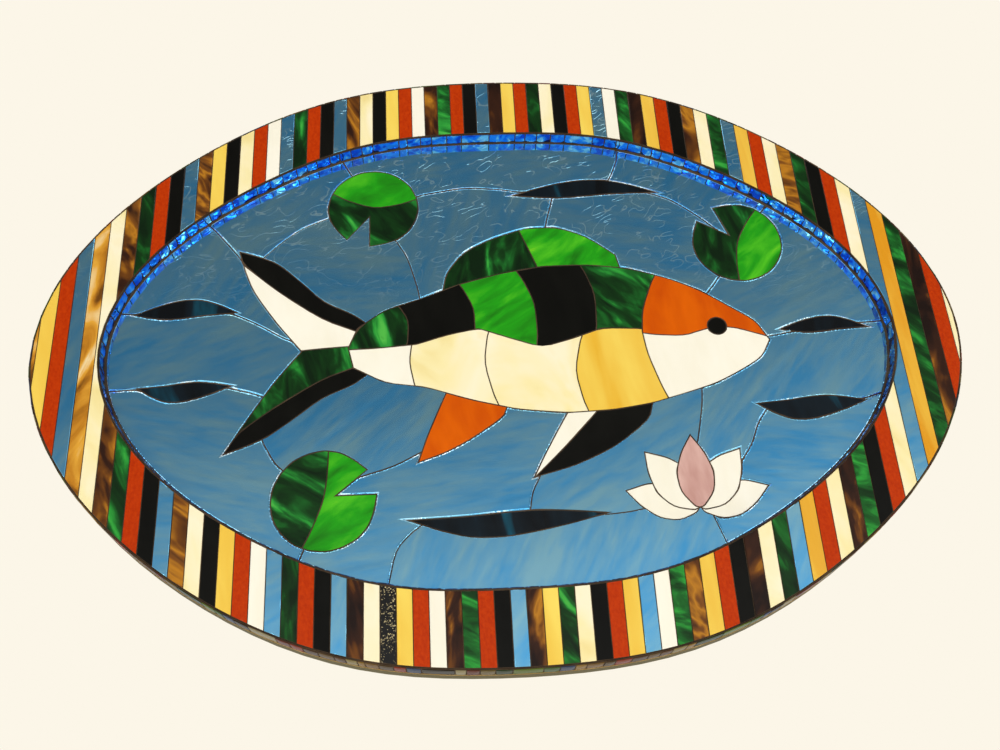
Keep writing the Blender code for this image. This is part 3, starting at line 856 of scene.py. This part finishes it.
def corners_round(node, inwards):
    """The corners of the wall's tile faces, read from the solid, in order round the wall."""
    solid = copy_of(node, "ring_reading")
    corners = set()
    for face in solid.data.polygons:
        outwards = face.normal.x * face.center.x + face.normal.z * face.center.z
        if abs(face.normal.y) < 0.1 and (outwards < 0) == inwards:
            for vertex in face.vertices:
                spot = solid.data.vertices[vertex].co
                corners.add((round(spot.x, 6), round(spot.z, 6)))
    bpy.data.objects.remove(solid)
    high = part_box(node)[1]
    ordered = sorted(corners, key=lambda spot: math.atan2(spot[1] / high.z, spot[0] / high.x))
    return [Vector((x, 0, z)) for x, z in ordered]


def way_round(corners):
    """The length of the closed line through the corners, and the place at any distance along it."""
    loop = [*corners, corners[0]]
    reached = [0.0]
    for start, end in zip(loop, loop[1:]):
        reached.append(reached[-1] + (end - start).length)

    def at(distance):
        distance %= reached[-1]
        index = next(i for i in range(len(corners)) if distance <= reached[i + 1])
        share = (distance - reached[index]) / (reached[index + 1] - reached[index])
        return loop[index].lerp(loop[index + 1], share)

    return reached[-1], at


def tile_widths(total, pitch, seed):
    """Widths that vary about the pitch and fill the whole way round. A few are long."""
    widths = []
    while sum(widths) < total - pitch * 0.5:
        draw = noise.noise(Vector((len(widths) * 7.31, seed, 0.5)))
        widths.append(pitch * (1.0 + WIDTH_SPREAD * draw) * (LONG_TILE if draw > LONG_FROM else 1.0))
    return [width * total / sum(widths) for width in widths]


def plain_tile(name):
    """A box with sides of 1 from Y = 0 to Y = 1, with a grid of points on its face at Y = 0."""
    bpy.ops.object.select_all(action="DESELECT")
    bpy.ops.mesh.primitive_grid_add(**TILE_GRID, size=1, rotation=(math.pi / 2, 0, 0))
    tile = bpy.context.active_object
    tile.name = name
    bpy.ops.object.transform_apply(location=False, rotation=True, scale=False)
    open_piece(tile)
    bpy.ops.mesh.extrude_region_move(TRANSFORM_OT_translate={"value": (0, 1, 0)})
    bpy.ops.mesh.select_all(action="SELECT")
    bpy.ops.mesh.normals_make_consistent(inside=False)
    close_piece()
    return tile


def move_wall_face(piece, corners, outwards):
    """Moves each point on the wall's tile face away from the panel's middle by outwards(point)."""
    for vertex in piece.data.vertices:
        flat = Vector((vertex.co.x, 0, vertex.co.z))
        if min((flat - corner).length for corner in corners) < ON_WALL_FACE:
            vertex.co += flat.normalized() * outwards(vertex.co)


def set_tiles(name, node, inwards, pitch, bumps, seed, *finishes):
    """Copies of the plain tile round a wall, each of its own width, on a ring of grout.

    Where there are two finishes, the second is on the cut ends.
    """
    corners = corners_round(node, inwards)
    total, at = way_round(corners)
    widths = tile_widths(total, pitch, seed)
    low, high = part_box(node)
    front, back = low.y, high.y
    pattern = plain_tile(name + "_master")
    tiles = []
    walked = 0.0
    for index, width in enumerate(widths):
        start = at(walked)
        end = at(walked + width)
        walked += width
        along = (end - start).normalized()
        out = Vector((along.z, 0, -along.x))
        if (out.dot(start) < 0) != inwards:
            out = -out
        tile = bpy.data.objects.new(f"{name}_{index}", pattern.data.copy())
        bpy.context.scene.collection.objects.link(tile)
        wide = (end - start).length - TILE_JOINT
        side = -1.0 if along.cross(Vector((0, 1, 0))).dot(out) < 0 else 1.0
        for vertex in tile.data.vertices:
            u, d, v = vertex.co
            on_edge = max(abs(u), abs(v)) > 0.499
            spot = (start + end) / 2 + along * (u * wide * side)
            spot.y = (front + back) / 2 + v * (back - front) * TILE_FILLS
            if d < 0.5:
                rough = noise.noise(Vector((u * 2.5 + index * 3.7, v * 3.5, seed)))
                lift = bumps * rough - (TILE_EDGE_WORN if on_edge else 0.0)
                spot += out * (lift - TILE_SET_BACK)
            else:
                spot -= out * (TILE_PROUD + TILE_SET_BACK)
            if on_edge:
                slip = noise.noise(Vector((u * 9.1 + index * 5.3, v * 7.7, seed + 3)))
                spot += along * (slip * TILE_EDGE_WAVER)
            vertex.co = spot
        number_cut(tile, index, seed * 0.37)
        tiles.append(tile)
    bpy.data.objects.remove(pattern)
    row = join(tiles, name)
    open_piece(row)
    bpy.ops.mesh.normals_make_consistent(inside=False)
    close_piece()
    bpy.ops.object.shade_smooth_by_angle(angle=math.radians(50))
    dress(row, name, node, *finishes)
    for face in row.data.polygons:
        face.material_index = len(finishes) - 1 if abs(face.normal.y) > 0.6 else 0
    narrowest, widest = in_mm((min(widths), max(widths)))
    print(name, len(widths), "tiles,", narrowest, "to", widest, "mm wide")

    ring = copy_of(node, name + "_grout")
    move_wall_face(ring, corners, lambda point: RING_BEHIND if inwards else -RING_BEHIND)
    shift_front(ring, (front + back) / 2, RING_SUNK)
    dress(ring, "grout", node, grout)
    return corners


blue_corners = set_tiles(
    "blue_mirror_tiles", "inner_wall_tiles", True, 0.0130, 0.0006, 1.0, mirror_tile, tile_edge
)
set_tiles("edge_tiles", "outer_wall_tiles", False, 0.0122, 0.00015, 2.0, edge_tile)

# %% [markdown]
# A bead of grout closes the corner where the blue tiles meet the water. Its solid is a slice of the
# wall's own ring, wide at the glass and narrow at its front.

# %% The bead at the foot of the wall
BEAD_TALL = 0.0014
BEAD_FOOT = 0.0003
BEAD_WIDE = 0.0016
BEAD_TIP = 0.0003
bead = copy_of("inner_wall_tiles", "foot_bead")
cut_away(bead, glass_face - BEAD_TALL, FRONT)
cut_away(bead, glass_face + BEAD_FOOT, BACK)
move_wall_face(bead, blue_corners, lambda point: -(BEAD_WIDE if point.y > glass_face else BEAD_TIP))
dress(bead, "grout", "inner_wall_tiles", grout)
print("bead:", in_mm(bead.dimensions))

# %% [markdown]
# The two plywood boards keep their solids and only get the wood's finish.

# %% Boards
for node in ("base_board", "rim_board"):
    board = frame["nodes"][node]
    board.data.materials.clear()
    board.data.materials.append(plywood.material)

# %% [markdown]
# Last, the dressed panel's size is printed, as the solids' size was at the start. The
# dressed panel has to stay inside the solids' box.

# %% Sizes and finish
box_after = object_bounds()
print("visual size in mm:", in_mm(box_after[1] - box_after[0]))
